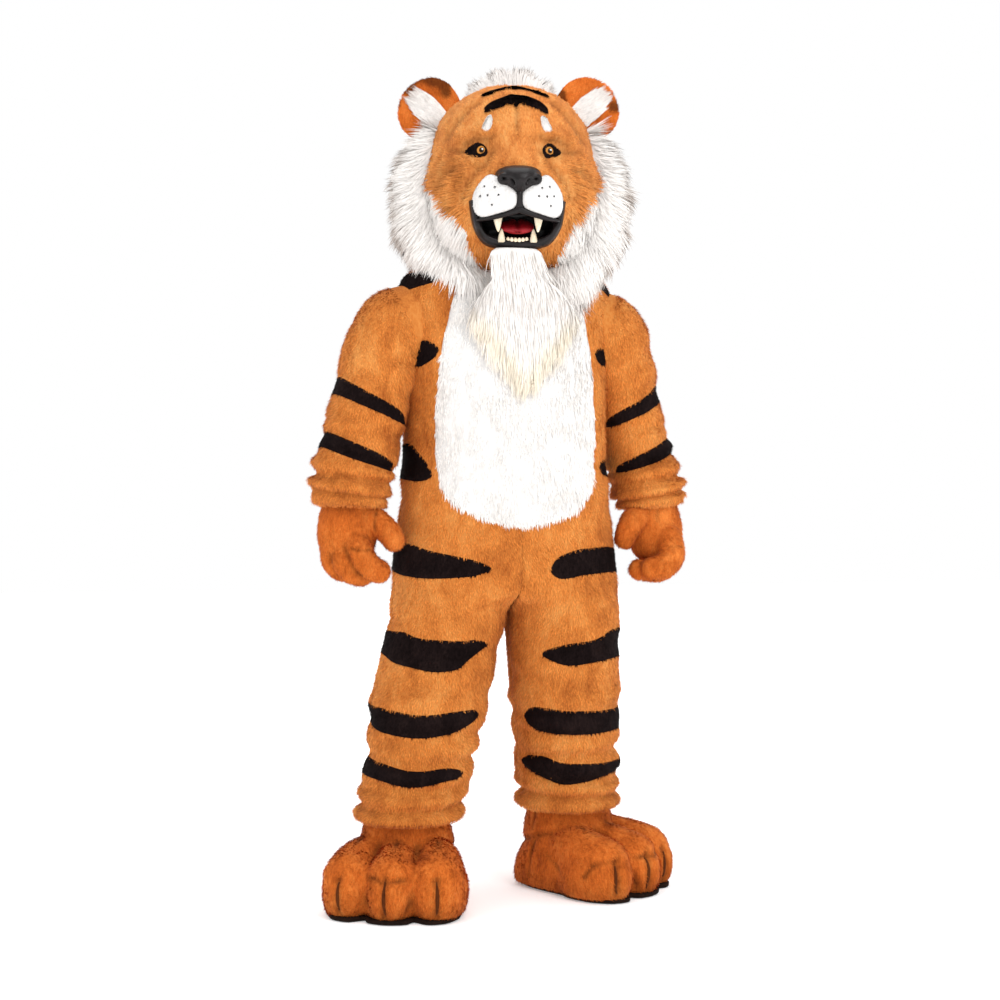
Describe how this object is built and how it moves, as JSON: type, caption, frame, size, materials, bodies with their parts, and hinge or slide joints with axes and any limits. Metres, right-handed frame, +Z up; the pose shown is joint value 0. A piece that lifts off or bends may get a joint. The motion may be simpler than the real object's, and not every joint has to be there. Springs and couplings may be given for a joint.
{
  "type": "tiger mascot costume",
  "caption": "Full-body plush tiger mascot costume: hooded padded head with white ruff, one-piece suit with belly panel and stripes, mitts and big-toed foot covers.",
  "frame": {"origin": "on the wearer's shoulder line, midway between the shoulders", "axes": "+Z up; the front faces -Y; +X towards the wearer's left"},
  "size_m": [0.919, 0.4805, 1.945],
  "materials": {
    "plush_orange": "short-pile plush, orange",
    "plush_rust": "short-pile plush, rust orange",
    "plush_dark": "short-pile plush, near black",
    "plush_white": "shaggy plush, white",
    "fur_white": "long-pile fur, white with grey-brown tips",
    "satin_black": "moulded, satin black",
    "felt_red": "moulded, dark red",
    "felt_cream": "moulded, cream",
    "eye_amber": "glossy amber",
    "sole_brown": "dark brown foam rubber"
  },
  "bodies": {
    "root": {"beard": "fur_white", "belly": "plush_white", "brow_left": "fur_white", "brow_right": "fur_white", "crest": "fur_white", "ear_left": "plush_rust", "ear_lining_left": "fur_white", "ear_lining_right": "fur_white", "ear_right": "plush_rust", "eye_left": "eye_amber", "eye_right": "eye_amber", "eye_rim_left": "satin_black", "eye_rim_right": "satin_black", "fang_lower_left": "felt_cream", "fang_lower_right": "felt_cream", "fang_upper_left": "felt_cream", "fang_upper_right": "felt_cream", "head_shell": "plush_orange", "head_stripe_back": "plush_dark", "head_stripe_front": "plush_dark", "incisors": "felt_cream", "mitt_left": "plush_rust", "mitt_right": "plush_rust", "mouth": "satin_black", "muzzle_left": "plush_white", "muzzle_right": "plush_white", "nose": "satin_black", "paw_left": "plush_rust", "paw_right": "plush_rust", "ruff_left": "fur_white", "ruff_right": "fur_white", "sleeve_left": "plush_orange", "sleeve_right": "plush_orange", "sole_left": "sole_brown", "sole_right": "sole_brown", "stripe_chest_left": "plush_dark", "stripe_chest_right": "plush_dark", "stripe_hip_left": "plush_dark", "stripe_hip_right": "plush_dark", "stripe_knee_left": "plush_dark", "stripe_knee_right": "plush_dark", "stripe_lower_sleeve_left": "plush_dark", "stripe_lower_sleeve_right": "plush_dark", "stripe_shin_left": "plush_dark", "stripe_shin_right": "plush_dark", "stripe_shoulder_left": "plush_dark", "stripe_shoulder_right": "plush_dark", "stripe_thigh_left": "plush_dark", "stripe_thigh_right": "plush_dark", "stripe_upper_sleeve_left": "plush_dark", "stripe_upper_sleeve_right": "plush_dark", "stripe_waist_left": "plush_dark", "stripe_waist_right": "plush_dark", "suit_back_left": "plush_orange", "suit_back_right": "plush_orange", "suit_front_left": "plush_orange", "suit_front_right": "plush_orange", "tongue": "felt_red"}
  },
  "joints": []
}
